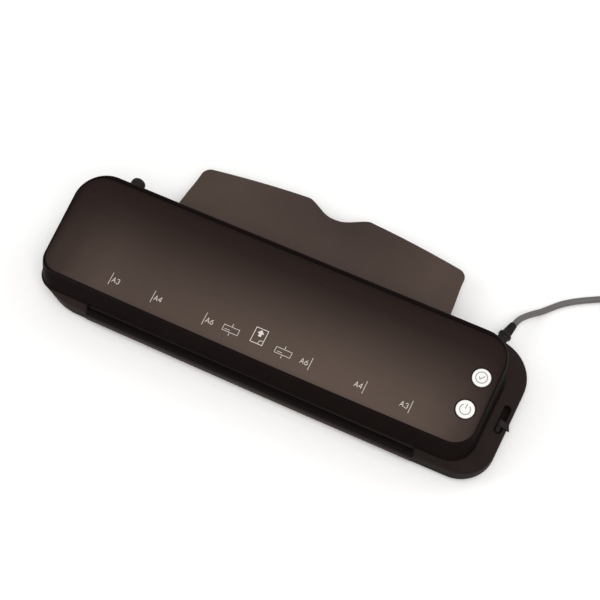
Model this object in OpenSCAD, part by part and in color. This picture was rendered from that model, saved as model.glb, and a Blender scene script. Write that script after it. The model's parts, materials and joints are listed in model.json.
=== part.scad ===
// Pouch laminator for sheets up to A3, with a plug-in exit tray and a mains lead.
// Body frame: X along the rollers, Y from the entry slot to the exit slot, Z up, 0 on the table.

/* [Casing] */
// Left end of the base, measured from the centre of the paper path
base_left = 228.5; // [226:0.5:232]
// Right end of the base, measured from the centre of the paper path
base_right = 228.5; // [227:0.5:232]
// Front of the base ahead of the middle of the body
base_front = 63.5; // [62:0.5:64]
// Back of the base behind the middle of the body
base_back = 78; // [77:0.5:79]
// Wall thickness of the base and the cover
wall = 2.5; // [2:0.1:2.8]
// Height of the cover's front edge at the control panel
front_z = 50; // [49.5:0.5:52]
// Rise of the control panel towards the back, in degrees
slope = 10.4; // [10:0.2:12]
// Gap in height between the table and the underside, filled by the feet
foot_h = 3; // [2.5:0.5:3]
// Width of the slot that takes the pouch
slot_w = 327; // [320:1:330]

/* [Buttons] */
// Distance of the power button to the right of the centre of the paper path
power_x = 192; // [190:0.5:193]
// Distance of the ready button to the right of the centre of the paper path
ready_x = 193.5; // [190:0.5:194]
// Distance of the power button up the panel
power_s = 33.5; // [32:0.5:35]
// Distance of the ready button up the panel
ready_s = 65.4; // [64:0.2:68]
// Radius of a button
button_r = 8.3; // [7.5:0.1:8.4]

/* [Exit tray] */
// Sideways place of the tray's middle
tray_x = -3.5; // [-4:0.5:0]
// Half of the tray's width at its root
tray_half = 142; // [135:1:142]
// How far back the tray reaches, beside its finger notch
tray_tip = 140.5; // [136:0.5:145]
// Height of the tray's upper face
tray_z = 23.6; // [23.2:0.1:23.6]

/* [Rollers and gears] */
// Radius of the silicone sleeves
roller_r = 8.5; // [8.3:0.05:8.5]
// Radius of the steel roller shafts
shaft_r = 4; // [3:0.5:4]
// Place of the front roller pair
front_roller_y = -36; // [-36.5:0.5:-35.5]

/* [Mains lead] */
// Diameter of the lead
cord_d = 6; // [6:0.5:7]

/* [Hidden] */

// Outlines: left, right, front, back, the radii front-left, front-right, back-right, back-left, and
// how far the left side spreads towards the back
base_rim = [-base_left, base_right, -base_front, base_back, 44, 31, 42, 46];
base_low = [1.5 - base_left, base_right - 1, 0.2 - base_front, base_back - 1, 50, 31, 42, 46];
base_sole = [4.5 - base_left, base_right - 4, 2.3 - base_front, base_back - 4, 48, 29, 41, 44];
cover_foot = [-221, 211, -59, 66, 26, 24, 42, 42];
// The same for the cover's rim and the panel, with the distance up the slope in place of Y
cover_rim = [-218.5, 209.5, -0.5, 110, 14, 22, 28, 30, 3];
cover_brow = [-218, 209, 0, 108.6, 13.5, 21.5, 27, 29.5, 3];
cover_top = [-217.4, 208.4, 0.6, 105.8, 13, 21, 22, 28, 3];
panel = [-216.8, 207.8, 1.2, 104.6, 12, 20, 21, 27, 3];
panel_t = 1.2;
front_bow = 1.2;
front_y = -53.7;
rim_z = 20;
low_z = 7;
base_top = 26.5;
cover_z = 26.6;
floor_z = foot_h + wall;
lip_front = -66;
lip_low = 9;
slot_z = [22.6, 28.2];
exit_z = [24.2, 29.5];
tray_t = 2.2;
// The notch stands a little to the right of the tray's middle
notch_x = 1;
fit = 0.02;
running = 0.05;
button_spots = [[power_x, power_s], [ready_x, ready_s]];
// radius of the holes that take the button bezels
bezel_r = 9.6;
// The origin is under the middle of the object with its tray, so the body moves forward
frame_y = -(tray_tip + lip_front) / 2;

boss_points = [[-204, -44], [-204, 44], [198, -44], [198, 44]];
boss_r = 6.2;
boss_top = 24;
foot_points = [[-168, -50], [168, -50], [-180, 58], [180, 58]];

// Rollers and gear train
roller_teeth = 17;
idler_teeth = 16;
pinion_teeth = 12;
pressure_angle = 20;
roller_gap = 0.3;
axis_gap = 2 * roller_r + roller_gap;
gear_m = axis_gap / roller_teeth;
idler_step = (roller_teeth + idler_teeth) / 2 * gear_m;
rear_roller_y = front_roller_y + 2 * idler_step + 2 * idler_teeth * gear_m;
path_z = 26;
lower_z = path_z - axis_gap / 2;
upper_z = path_z + axis_gap / 2;
sleeve_half = 167;
frame_x = 176.5;
frame_t = 1.5;
gear_x = -187;
gear_w = 7;
bush_r = 6;
idler_y = [front_roller_y + idler_step, front_roller_y + idler_step + idler_teeth * gear_m,
    front_roller_y + idler_step + 2 * idler_teeth * gear_m];
pinion_step = (idler_teeth + pinion_teeth) / 2 * gear_m;
pinion_z = lower_z + pinion_step;
window_z = [27.8, 47.4];
window_half = 6.1;
pin_r = 2.5;
motor_r = 20;
motor_y = 4;
motor_z = 32;
motor_x = -213;
bracket_x = -191.5;
bracket_t = 1.5;
tie_points = [[-49, 12], [-3, 51], [37, 51]];
tie_r = 3;
frame_screw_y = [-14, 8];
bracket_screw_y = [-9.2, 16];
bracket_screw_z = 52;
motor_screw_step = 15;
spring_wire = 0.5;
spring_mean = 2;
spring_turns = 4;
spring_steps = 12;
spring_sides = 6;
spring_z = upper_z + 6.5 + spring_wire;
spring_rise = window_z[1] - spring_wire - spring_z;

// Mains lead: gland, hand-chosen route, coil and plug
gland = [188.7, 77.5, 17];
gland_turn = -12;
cord_r = cord_d / 2;
cord_sides = 10;
cord_route = [[193.3, 99, 17], [195.5, 107.5, 15], [199, 115.5, 11.5], [203.8, 123.5, 7.5],
    [209.5, 131, 4.4], [215.5, 139, cord_r], [222.5, 147, cord_r], [230.5, 154, cord_r],
    [239.5, 160.3, cord_r], [249.5, 166.5, cord_r], [260, 172.8, cord_r], [270.5, 179.6, cord_r],
    [281, 186.6, cord_r], [291.5, 193.4, cord_r]];
coil_centre = [318, 160];
coil_in = 26.5;
coil_out = 42.5;
plug_face_y = 128;
plug_l = 38;
plug_t = 14;
plug_x = coil_centre[0] + coil_out;

// ---- shared shapes ----

function arc(cx, cy, r, a0, a1, n = 8) =
    [for (i = [0:n]) let (a = a0 + (a1 - a0) * i / n) [cx + r * cos(a), cy + r * sin(a)]];

function bowed(x0, x1, y, n = 8) =
    [for (i = [1:n - 1]) let (u = 2 * i / n - 1) [x0 + (x1 - x0) * i / n, y - front_bow * (1 - u * u)]];

// A rectangle b with four corner radii and a bowed front, drawn in by i
function outline(b, i = 0) = let (
    x0 = b[0] + i, x1 = b[1] - i, y0 = b[2] + i, y1 = b[3] - i,
    fl = b[4] - i, fr = b[5] - i, br = b[6] - i, bl = b[7] - i, spread = len(b) > 8 ? b[8] : 0)
    concat(arc(x0 + fl, y0 + fl, fl, 180, 270), bowed(x0 + fl, x1 - fr, y0),
        arc(x1 - fr, y0 + fr, fr, 270, 360), arc(x1 - br, y1 - br, br, 0, 90),
        arc(x0 + bl - spread, y1 - bl, bl, 90, 180));

// Moves the body frame so that the whole object is centred on the origin
module at_body() {
    translate([0, frame_y, 0]) children();
}

// Places children on the sloping control panel, h above its surface
module on_slope(h = 0) {
    translate([0, front_y, front_z]) rotate([slope, 0, 0]) translate([0, 0, h]) children();
}

module slab(b, i = 0) {
    linear_extrude(0.01) polygon(outline(b, i));
}

// Turns a flat Y-Z profile into a solid that runs along X from x, w wide
module along_x(x, w) {
    translate([x, 0, 0]) rotate([90, 0, 90]) linear_extrude(w) children();
}

module box(lo, hi) {
    translate(lo) cube(hi - lo);
}

// Round bar along X between two places, centred on y and z
module rod_x(x0, x1, y, z, r) {
    translate([x0, y, z]) rotate([0, 90, 0]) cylinder(h = x1 - x0, r = r, $fn = 48);
}

function panel_z(y) = front_z + (y - front_y) * tan(slope);

// ---- casing ----

module base_form(i, z0, z1) {
    hull() {
        translate([0, 0, z0]) slab(base_sole, i);
        translate([0, 0, low_z]) slab(base_low, i);
        translate([0, 0, rim_z]) slab(base_rim, i);
        translate([0, 0, z1]) slab(cover_foot, i - 1.2);
    }
}

module screw_boss(p) {
    translate([p[0], p[1], foot_h]) cylinder(h = boss_top - foot_h, r = boss_r, $fn = 48);
}

module screw_boss_hole(p) {
    translate([p[0], p[1], foot_h - 1]) {
        cylinder(h = 8.5, r = 4.2, $fn = 48);
        cylinder(h = 30, r = 2.1, $fn = 32);
    }
}

module tray_sockets() {
    for (x = [-85, 85])
        box([tray_x + x - 15.4, 60, tray_z - 2.6], [tray_x + x + 15.4, 92, exit_z[0] + 0.1]);
}

module release_slot() {
    for (y = [-10, 13]) translate([221.5, y, 15.2]) cylinder(h = 15, r = 3.5, $fn = 48);
    box([218, -10, 15.2], [225, 13, 30.2]);
}

module base_casing() at_body() color([0.30, 0.25, 0.23]) {
    difference() {
        union() {
            difference() {
                base_form(0, foot_h, base_top);
                base_form(wall, floor_z, base_top + 0.1);
            }
            // entry lip under the slot
            along_x(-slot_w / 2, slot_w) polygon([[-base_front + 1.2, lip_low],
                [lip_front + 0.8, lip_low + 1.2], [lip_front, lip_low + 3], [lip_front, 20],
                [lip_front + 1.4, 21.6], [-60.2, 22.5], [-60.2, 20], [-62.2, 19]]);
            // floor shelf and rails that carry the release slider
            intersection() {
                base_form(wall - 0.5, foot_h + 1, base_top);
                union() {
                    box([210, -26, floor_z - 0.5], [227, 28, 11.5]);
                    box([210, -26, floor_z - 0.5], [211.8, 28, 16.9]);
                }
            }
            // shelves that hold the tray's tongues from below
            for (x = [-85, 85])
                box([tray_x + x - 19, 62, floor_z - 0.5], [tray_x + x + 19, 77, tray_z - 2.6]);
            for (p = boss_points) screw_boss(p);
        }
        for (p = boss_points) screw_boss_hole(p);
        box([-slot_w / 2, -70, slot_z[0]], [slot_w / 2, -50, 30]);
        box([-slot_w / 2, 55, exit_z[0]], [slot_w / 2, 90, 30]);
        tray_sockets();
        release_slot();
        for (p = foot_points) translate([p[0], p[1], foot_h - 1]) {
            cylinder(h = 1.8, r = 8, $fn = 64);
            cylinder(h = 6, r = 2.5, $fn = 32);
        }
        for (x = [-170, 170], y = frame_screw_y)
            translate([x, y, foot_h - 1]) cylinder(h = 5, r = 1.5, $fn = 24);
        translate(gland) rotate([0, 0, gland_turn]) rotate([-90, 0, 0])
            translate([0, 0, -12]) cylinder(h = 24, r = 5.25, $fn = 48);
    }
}

module cover_form(i) {
    hull() {
        translate([0, 0, cover_z - i * 0.4]) slab(cover_foot, i);
        on_slope(-4 - i * 0.4) slab(cover_rim, i);
        on_slope(-1.4 - i) slab(cover_brow, i);
        on_slope(-i) slab(cover_top, i);
    }
}

module cover_post(p) {
    top = panel_z(p[1]) - 1.8;
    translate([p[0], p[1], boss_top + 0.2]) cylinder(h = top - boss_top - 0.2, r = 5, $fn = 48);
}

module top_cover() at_body() color([0.16, 0.13, 0.12]) {
    difference() {
        union() {
            difference() {
                cover_form(0);
                cover_form(wall);
            }
            for (p = boss_points) cover_post(p);
            for (p = [[184.5, 24], [203, 24], [184.5, 79], [203, 79]])
                on_slope(-9) translate(p) cylinder(h = 7, r = 2.6, $fn = 32);
        }
        on_slope(-panel_t) linear_extrude(3) polygon(outline(panel, -0.1));
        for (p = button_spots) on_slope(-6) translate(p) cylinder(h = 8, r = bezel_r, $fn = 64);
        box([-slot_w / 2, -70, 20], [slot_w / 2, -50, slot_z[1]]);
        box([-slot_w / 2, 55, 20], [slot_w / 2, 90, exit_z[1]]);
        for (p = boss_points) translate([p[0], p[1], 20]) cylinder(h = 20, r = 2 + fit, $fn = 32);
        for (p = [[184.5, 24], [203, 79]])
            on_slope(-10) translate(p) cylinder(h = 6, r = 1.2, $fn = 24);
        // seat of the fuse holder, through the back wall
        fuse_at() translate([0, 0, -20]) cylinder(h = 40, r = 7 + fit, $fn = 64);
    }
}

module top_panel() at_body() color([0.33, 0.28, 0.26]) {
    on_slope(-panel_t) difference() {
        linear_extrude(panel_t) polygon(outline(panel));
        for (p = button_spots) translate([p[0], p[1], -1]) cylinder(h = 4, r = bezel_r, $fn = 64);
    }
}

module rubber_feet() at_body() color([0.08, 0.08, 0.08]) {
    for (p = foot_points) translate([p[0], p[1], 0]) {
        cylinder(h = 1, r1 = 7.3, r2 = 7.95, $fn = 64);
        translate([0, 0, 1]) cylinder(h = foot_h - 0.2, r = 7.95, $fn = 64);
        translate([0, 0, 1]) cylinder(h = floor_z - 1, r = 2.5 - fit, $fn = 32);
        translate([0, 0, floor_z]) cylinder(h = 1.2, r = 3.4, $fn = 32);
    }
}

module screw(head_r, head_h, r, l) {
    difference() {
        cylinder(h = head_h, r = head_r, $fn = 32);
        for (a = [0, 90])
            rotate([0, 0, a]) translate([-head_r * 0.7, -0.5, -0.1]) cube([head_r * 1.4, 1, 1.1]);
    }
    translate([0, 0, head_h]) cylinder(h = l, r = r, $fn = 32);
}

module casing_screws() at_body() color([0.7, 0.7, 0.72]) {
    for (p = boss_points) translate([p[0], p[1], foot_h + 5]) screw(3.8, 2.5, 2, 27);
}

// ---- buttons and control board ----

module button_bezels() at_body() color([0.07, 0.07, 0.07]) {
    for (p = button_spots) on_slope(-5) translate(p) difference() {
        cylinder(h = 5.1, r = bezel_r - fit, $fn = 64);
        translate([0, 0, -1]) cylinder(h = 8, r = button_r + 0.4, $fn = 64);
    }
}

module button(p) {
    on_slope(-3.2) translate(p) rotate_extrude($fn = 64)
        polygon([[0, -2.4], [2, -2.4], [2, 0], [button_r, 0], [button_r, 3.1], [button_r - 0.5, 3.6],
            [0, 3.75]]);
}

module power_button() at_body() color([0.95, 0.95, 0.95]) button(button_spots[0]);

module ready_button() at_body() color([0.95, 0.95, 0.95]) button(button_spots[1]);

module control_board() at_body() color([0.1, 0.35, 0.2]) {
    on_slope(-10.6) difference() {
        box([180.5, 19, 0], [206.5, 84, 1.6]);
        for (p = [[184.5, 24], [203, 79]]) translate([p[0], p[1], -1]) cylinder(h = 4, r = 1.5, $fn = 24);
    }
}

module board_components() at_body() color([0.2, 0.2, 0.22]) {
    on_slope(-10.6) {
        // transformer, relay, capacitors and the wire header
        box([183, 44, -16], [203, 62, 0]);
        box([184, 66, -11], [196, 76, 0]);
        for (x = [187, 196]) translate([x, 37, -12]) cylinder(h = 12, r = 3.5, $fn = 32);
        box([186, 27.5, -7], [200, 32, 0]);
    }
}

module tact_switches() at_body() color([0.15, 0.15, 0.15]) {
    for (p = button_spots) on_slope(-9) translate([p[0], p[1], 0]) {
        translate([-3, -3, 0]) cube([6, 6, 1.6]);
        cylinder(h = 2.2, r = 1.6, $fn = 32);
    }
}

module board_screws() at_body() color([0.7, 0.7, 0.72]) {
    for (p = [[184.5, 24], [203, 79]]) on_slope(-12.2) translate(p) screw(2.6, 1.6, 1.2 - fit, 6);
}

// ---- exit tray ----

// half of the finger notch: distance from its middle, and depth from the tip
tray_notch = [[28.5, 0.9], [24, 3.1], [18.5, 6.2], [12, 9.7], [6, 11.8]];

function tray_edge(x) = tray_tip + 1.2 - 12.1 * pow(abs(x) / 127, 1.7);

function tray_side(m) = concat(
    [[m * tray_half, base_back + 0.8], [m * (tray_half - 3.6), 112]],
    [for (p = arc(tray_half - 13.8, 119.3, 10, -6, 80, 6)) [m * p[0], p[1]]],
    [for (x = [116.5:-14:32.5]) [m * x, tray_edge(x)]],
    [for (p = tray_notch) [notch_x + m * p[0], tray_tip - p[1]]]);

function reversed(v) = [for (i = [len(v) - 1:-1:0]) v[i]];

module exit_tray() at_body() color([0.33, 0.28, 0.26]) translate([tray_x, 0, 0]) {
    translate([0, 0, tray_z - tray_t]) linear_extrude(tray_t)
        polygon(concat(tray_side(1), reversed(tray_side(-1))));
    for (x = [-85, 85]) box([x - 15, 64, tray_z - tray_t], [x + 15, 80, tray_z]);
    // stiffening ribs below
    for (x = [-110, -55, 0, 55, 110])
        box([x - 1, base_back + 2, tray_z - tray_t - 2.4], [x + 1, 122, tray_z - tray_t + 0.2]);
    box([-112, base_back + 2, tray_z - tray_t - 2.4], [112, base_back + 4, tray_z - tray_t + 0.2]);
}

// ---- release slider ----

module release_slider() at_body() color([0.08, 0.08, 0.08]) {
    box([212.3, -22, 11.85], [224.2, 3, 14.8]);
    box([219.7, -12.5, 14.5], [223.3, -0.5, 24.6]);
    // finger fin, deepest at its front end
    intersection() {
        translate([0, -0.5, 0]) rotate([90, 0, 0]) linear_extrude(6)
            polygon([[219.7, 20], [223.3, 20], [223.3, 22.75], [230.3, 19.9], [231, 21.7], [221.5, 25.6],
                [219.7, 25.6]]);
        translate([0, 0, 15]) linear_extrude(15)
            polygon([[219, -7], [231.3, -7], [228.2, 0], [219, 0]]);
    }
    box([212.3, -13, 14.5], [214.3, -7, 17.4]);
}

module release_link() at_body() color([0.75, 0.75, 0.78]) {
    box([181, -13, 17.4], [214.3, -7, 18.6]);
    // wedge that eases the pressure as the slider moves
    translate([181, 0, 0]) rotate([90, 0, 90]) linear_extrude(4)
        polygon([[-13, 18.6], [-3, 18.6], [-3, 19.6], [-8, 22.6], [-13, 22.6]]);
    box([181, -7.5, 17.4], [185, -3, 18.6]);
}

// ---- fuse ----

module fuse_at() {
    translate([-178, 61.9, 52]) rotate([-90, 0, 0]) children();
}

module fuse_holder() at_body() color([0.08, 0.08, 0.08]) {
    fuse_at() difference() {
        union() {
            translate([0, 0, -18]) cylinder(h = 10, r = 6, $fn = 64);
            translate([0, 0, -9]) cylinder(h = 9, r = 7, $fn = 64);
        }
        translate([0, 0, -16.5]) cylinder(h = 20, r = 4.5, $fn = 48);
    }
}

module fuse_cap() at_body() color([0.08, 0.08, 0.08]) {
    fuse_at() {
        difference() {
            translate([0, 0, -7]) cylinder(h = 8, r = 4.2, $fn = 48);
            translate([0, 0, -8]) cylinder(h = 8, r = 2.6, $fn = 32);
        }
        translate([0, 0, 0.4]) rotate_extrude($fn = 64)
            polygon([[0, 0], [7, 0], [7, 2.6], [6.6, 3.6], [5.6, 4.5], [4.2, 5.1], [0, 5.3]]);
    }
}

module fuse() at_body() color([0.8, 0.85, 0.85]) {
    fuse_at() translate([0, 0, -16]) cylinder(h = 16, r = 2.6 - fit, $fn = 32);
}

// ---- mains lead ----

module strain_relief() at_body() color([0.07, 0.07, 0.07]) {
    translate(gland) rotate([0, 0, gland_turn]) {
        rotate([-90, 0, 0]) rotate_extrude($fn = 48)
            polygon([[0, -8], [5.2, -8], [5.2, 6.2], [6.3, 6.4], [6.3, 8.8], [4.7, 9], [4.5, 14],
                [3.7, 22], [0, 22]]);
        // foot that keeps the lead from being pulled out
        box([-6, -8, -8], [6, -4.5, -2]);
    }
}

function unit(v) = v / norm(v);

function route_tangent(i) =
    unit(cord_route[min(i + 1, len(cord_route) - 1)] - cord_route[max(i - 1, 0)]);

// One ring of points round the route, square to its direction
function route_ring(i) = let (t = route_tangent(i), side = unit(cross(t, [0, 0, 1])), up = cross(side, t))
    [for (k = [0:cord_sides - 1]) let (a = 360 * k / cord_sides)
        cord_route[i] + cord_r * (cos(a) * side + sin(a) * up)];

module power_cord() at_body() color([0.12, 0.12, 0.12]) {
    n = cord_sides;
    last = len(cord_route) - 1;
    polyhedron(
        points = [for (i = [0:last]) each route_ring(i)],
        faces = concat(
            [[for (k = [0:n - 1]) k]],
            [for (i = [0:last - 1], k = [0:n - 1])
                [i * n + k, (i + 1) * n + k, (i + 1) * n + (k + 1) % n, i * n + (k + 1) % n]],
            [[for (k = [n - 1:-1:0]) last * n + k]]));
}

module cord_coil() at_body() color([0.12, 0.12, 0.12]) {
    translate([coil_centre[0], coil_centre[1], 0]) rotate_extrude($fn = 96)
        polygon([[coil_in - cord_r, 2], [coil_in - 1, 0], [coil_out + 1, 0], [coil_out + cord_r, 2],
            [coil_out + cord_r, 2 * cord_d - 2], [coil_out + 1, 2 * cord_d], [coil_in - 1, 2 * cord_d],
            [coil_in - cord_r, 2 * cord_d - 2]]);
}

module mains_plug() at_body() color([0.1, 0.1, 0.1]) {
    half = 17.6;
    difference() {
        translate([plug_x, plug_face_y, 0]) linear_extrude(plug_t) polygon(concat(
            [[-5, 0], [-8, -3], [-half + 4, -7], [-half, -14], [-half + 3, -plug_l + 2],
                [-half + 5, -plug_l]],
            [[half - 5, -plug_l], [half - 3, -plug_l + 2], [half, -14], [half - 4, -7], [8, -3], [5, 0]]));
        for (m = [-1, 1]) translate([plug_x + m * 9.5, plug_face_y - plug_l + 8, plug_t / 2])
            rotate([90, 0, 0]) cylinder(h = 20, r = 2 + fit, $fn = 32);
    }
    // strain relief and the short end of the lead
    translate([plug_x, plug_face_y, plug_t / 2]) rotate([-90, 0, 0]) rotate_extrude($fn = 48)
        polygon([[0, 0], [5, 0], [4.6, 10], [3.6, 24], [0, 24]]);
}

module plug_pins() at_body() color([0.8, 0.8, 0.82]) {
    for (m = [-1, 1]) translate([plug_x + m * 9.5, plug_face_y - plug_l + 8, plug_t / 2])
        rotate([90, 0, 0]) {
            cylinder(h = 25.5, r = 2, $fn = 32);
            translate([0, 0, 25.5]) cylinder(h = 1.2, r1 = 2, r2 = 1.2, $fn = 32);
        }
}

// ---- inner frame ----

module frame_profile() {
    difference() {
        polygon([[-53, floor_z], [42, floor_z], [42, 44], [41, 45], [41, 51.5], [36, 56], [-10, 56],
            [-20, 48.8], [-44, 48.8], [-53, 40]]);
        for (y = [front_roller_y, rear_roller_y]) {
            translate([y, lower_z]) circle(r = bush_r + fit, $fn = 64);
            translate([y - window_half, window_z[0]]) square([2 * window_half, window_z[1] - window_z[0]]);
        }
        for (p = tie_points) translate(p) circle(r = 1.6, $fn = 24);
        children();
    }
}

// Fixing foot of a side frame, bent inwards along the floor
module frame_foot(x0, x1, screw_x) {
    difference() {
        box([x0, -45, floor_z], [x1, 36, floor_z + frame_t]);
        for (y = frame_screw_y) translate([screw_x, y, floor_z - 1]) cylinder(h = 4, r = 1.7, $fn = 24);
    }
}

module left_side_frame() at_body() color([0.72, 0.73, 0.75]) {
    along_x(-frame_x - frame_t, frame_t) frame_profile() {
        for (y = idler_y) translate([y, lower_z]) circle(r = pin_r, $fn = 48);
        translate([idler_y[1], pinion_z]) circle(r = 4.2, $fn = 48);
        for (y = bracket_screw_y) translate([y, bracket_screw_z]) circle(r = 1.5, $fn = 24);
    }
    frame_foot(-frame_x - frame_t, -165, -170);
}

module right_side_frame() at_body() color([0.72, 0.73, 0.75]) {
    along_x(frame_x, frame_t) frame_profile();
    frame_foot(165, frame_x + frame_t, 170);
}

module frame_screws() at_body() color([0.7, 0.7, 0.72]) {
    for (x = [-170, 170], y = frame_screw_y) translate([x, y, floor_z + frame_t + 1.6])
        mirror([0, 0, 1]) screw(2.8, 1.6, 1.5 - fit, 3.8);
    for (p = tie_points, m = [-1, 1]) translate([m * (frame_x + frame_t + 1.6), p[0], p[1]])
        rotate([0, -m * 90, 0]) screw(2.8, 1.6, 1.5, 7);
}

module tie_bars() at_body() color([0.75, 0.75, 0.78]) {
    difference() {
        for (p = tie_points) rod_x(-frame_x, frame_x, p[0], p[1], tie_r);
        for (p = tie_points, x = [-frame_x, frame_x]) rod_x(x - 9, x + 9, p[0], p[1], 1.5 + fit);
    }
}

module lower_entry_guide() at_body() color([0.2, 0.2, 0.2]) {
    along_x(-frame_x, 2 * frame_x) polygon([[-59, 20.6], [-46.5, 22.6], [-46.5, 24.4], [-59, 22.4]]);
}

module upper_entry_guide() at_body() color([0.2, 0.2, 0.2]) {
    along_x(-frame_x, 2 * frame_x)
        polygon([[-54.6, 28.3], [-46.5, 27.6], [-46.5, 29.4], [-53, 30.6], [-54.6, 30.6]]);
}

module exit_guide() at_body() color([0.2, 0.2, 0.2]) {
    along_x(-frame_x, 2 * frame_x) polygon([[40, 24.1], [64, 24.2], [64, 25.2], [41, 25.2]]);
}

// ---- heating ----

function plate_profile(m) = [for (p = [[-25, 2.8], [-22, 2.8], [16, 2.8], [19, 2.8], [19, 1.3], [16, 0.8],
    [-22, 0.8], [-25, 1.3]]) [p[0], path_z + m * p[1]]];

module lower_heater_plate() at_body() color([0.8, 0.8, 0.82]) {
    along_x(-frame_x, 2 * frame_x) polygon(plate_profile(-1));
}

module upper_heater_plate() at_body() color([0.8, 0.8, 0.82]) {
    along_x(-frame_x, 2 * frame_x) polygon(plate_profile(1));
}

module heater_elements() at_body() color([0.85, 0.8, 0.7]) {
    for (z = [path_z - 5.8, path_z + 2.8]) box([-150, -12, z], [150, 6, z + 3]);
}

module heat_shield() at_body() color([0.8, 0.8, 0.82]) {
    along_x(-frame_x, 2 * frame_x) polygon([[-20, 33], [-19.2, 33], [-19.2, 42.2], [13.2, 42.2], [13.2, 33],
        [14, 33], [14, 43], [-20, 43]]);
}

module thermostat() at_body() color([0.85, 0.82, 0.75]) {
    translate([60, -3, path_z + 5.8]) {
        cylinder(h = 4.5, r = 8, $fn = 48);
        for (m = [-1, 1]) translate([m * 8 - 3, -1.5, 4.5]) cube([6, 3, 0.8]);
    }
}

module thermal_fuse() at_body() color([0.8, 0.8, 0.82]) {
    rod_x(-66, -54, -3, path_z + 7.8, 2);
    rod_x(-78, -42, -3, path_z + 7.8, 0.5);
}

// ---- bushes and springs ----

module lower_bushes() at_body() color([0.72, 0.55, 0.3]) {
    for (m = [0, 1], y = [front_roller_y, rear_roller_y]) mirror([m, 0, 0]) difference() {
        union() {
            rod_x(-frame_x - 3, -frame_x + 1.5, y, lower_z, bush_r);
            rod_x(-frame_x, -frame_x + 1.5, y, lower_z, bush_r + 1.6);
        }
        rod_x(-frame_x - 5, -frame_x + 4, y, lower_z, shaft_r + running);
    }
}

module upper_bushes() at_body() color([0.72, 0.55, 0.3]) {
    for (m = [0, 1], y = [front_roller_y, rear_roller_y]) mirror([m, 0, 0]) difference() {
        union() {
            box([-frame_x - 3, y - 6, upper_z - 6.5], [-frame_x + 1.5, y + 6, upper_z + 6.5]);
            box([-frame_x, y - 7.5, upper_z - 6.5], [-frame_x + 1.5, y + 7.5, upper_z + 6.5]);
        }
        rod_x(-frame_x - 5, -frame_x + 4, y, upper_z, shaft_r + running);
    }
}

function spring_ring(i) = let (a = 360 * i / spring_steps, z = spring_rise * i / (spring_turns * spring_steps))
    [for (k = [0:spring_sides - 1]) let (b = 360 * k / spring_sides, r = spring_mean + spring_wire * cos(b))
        [r * cos(a), r * sin(a), z + spring_wire * sin(b)]];

module pressure_spring() {
    n = spring_sides;
    last = spring_turns * spring_steps;
    polyhedron(
        points = [for (i = [0:last]) each spring_ring(i)],
        faces = concat(
            [[for (k = [0:n - 1]) k]],
            [for (i = [0:last - 1], k = [0:n - 1])
                [i * n + k, (i + 1) * n + k, (i + 1) * n + (k + 1) % n, i * n + (k + 1) % n]],
            [[for (k = [n - 1:-1:0]) last * n + k]]));
}

module pressure_springs() at_body() color([0.7, 0.7, 0.72]) {
    for (x = [-frame_x - frame_t / 2, frame_x + frame_t / 2], y = [front_roller_y, rear_roller_y])
        translate([x, y, spring_z]) pressure_spring();
}

// ---- rollers ----

module sleeve(y, z) {
    difference() {
        rod_x(-sleeve_half, sleeve_half, y, z, roller_r);
        rod_x(-sleeve_half - 1, sleeve_half + 1, y, z, shaft_r);
    }
}

module roller_shaft(y, z) {
    rod_x(gear_x - 1, frame_x + 4.5, y, z, shaft_r);
}

// Involute tooth flank: half-angle of a tooth at radius r
function involute(a) = tan(a) * 180 / PI - a;

function flank(teeth, r) = let (rp = teeth * gear_m / 2, rb = rp * cos(pressure_angle))
    90 / teeth - 0.12 / rp * 180 / PI + involute(pressure_angle) - involute(acos(min(1, rb / r)));

function tooth(teeth) = let (
    rp = teeth * gear_m / 2, rb = rp * cos(pressure_angle), root = rp - 1.25 * gear_m, tip = rp + 0.85 * gear_m,
    start = max(rb, root), step = (tip - start) / 4)
    concat(
        [[root, -flank(teeth, start) - 1]],
        [for (i = [0:4]) [start + i * step, -flank(teeth, start + i * step)]],
        [for (i = [4:-1:0]) [start + i * step, flank(teeth, start + i * step)]],
        [[root, flank(teeth, start) + 1]]);

// Spur gear in the Y-Z plane with a tooth at the angle phase
module spur_gear(teeth, y, z, phase, bore) {
    along_x(gear_x, gear_w) translate([y, z]) difference() {
        polygon([for (k = [0:teeth - 1]) let (a = phase + 360 * k / teeth)
            for (p = tooth(teeth)) [p[0] * cos(a + p[1]), p[0] * sin(a + p[1])]]);
        circle(r = bore, $fn = 48);
    }
}

// Phase of a gear of nb teeth that meshes, in the direction theta, with one of na teeth
function meshed(theta, phase, na, nb) = theta + 180 - (0.5 - (theta - phase) * na / 360) * 360 / nb;

front_lower_phase = 0;
front_idler_phase = meshed(0, front_lower_phase, roller_teeth, idler_teeth);
middle_idler_phase = meshed(0, front_idler_phase, idler_teeth, idler_teeth);
rear_idler_phase = meshed(0, middle_idler_phase, idler_teeth, idler_teeth);
rear_lower_phase = meshed(0, rear_idler_phase, idler_teeth, roller_teeth);

module front_lower_sleeve() at_body() color([0.55, 0.25, 0.18]) sleeve(front_roller_y, lower_z);

module front_upper_sleeve() at_body() color([0.55, 0.25, 0.18]) sleeve(front_roller_y, upper_z);

module rear_lower_sleeve() at_body() color([0.55, 0.25, 0.18]) sleeve(rear_roller_y, lower_z);

module rear_upper_sleeve() at_body() color([0.55, 0.25, 0.18]) sleeve(rear_roller_y, upper_z);

module front_lower_shaft() at_body() color([0.75, 0.75, 0.78]) roller_shaft(front_roller_y, lower_z);

module front_upper_shaft() at_body() color([0.75, 0.75, 0.78]) roller_shaft(front_roller_y, upper_z);

module rear_lower_shaft() at_body() color([0.75, 0.75, 0.78]) roller_shaft(rear_roller_y, lower_z);

module rear_upper_shaft() at_body() color([0.75, 0.75, 0.78]) roller_shaft(rear_roller_y, upper_z);

module front_lower_gear() at_body() color([0.9, 0.9, 0.85])
    spur_gear(roller_teeth, front_roller_y, lower_z, front_lower_phase, shaft_r);

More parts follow.
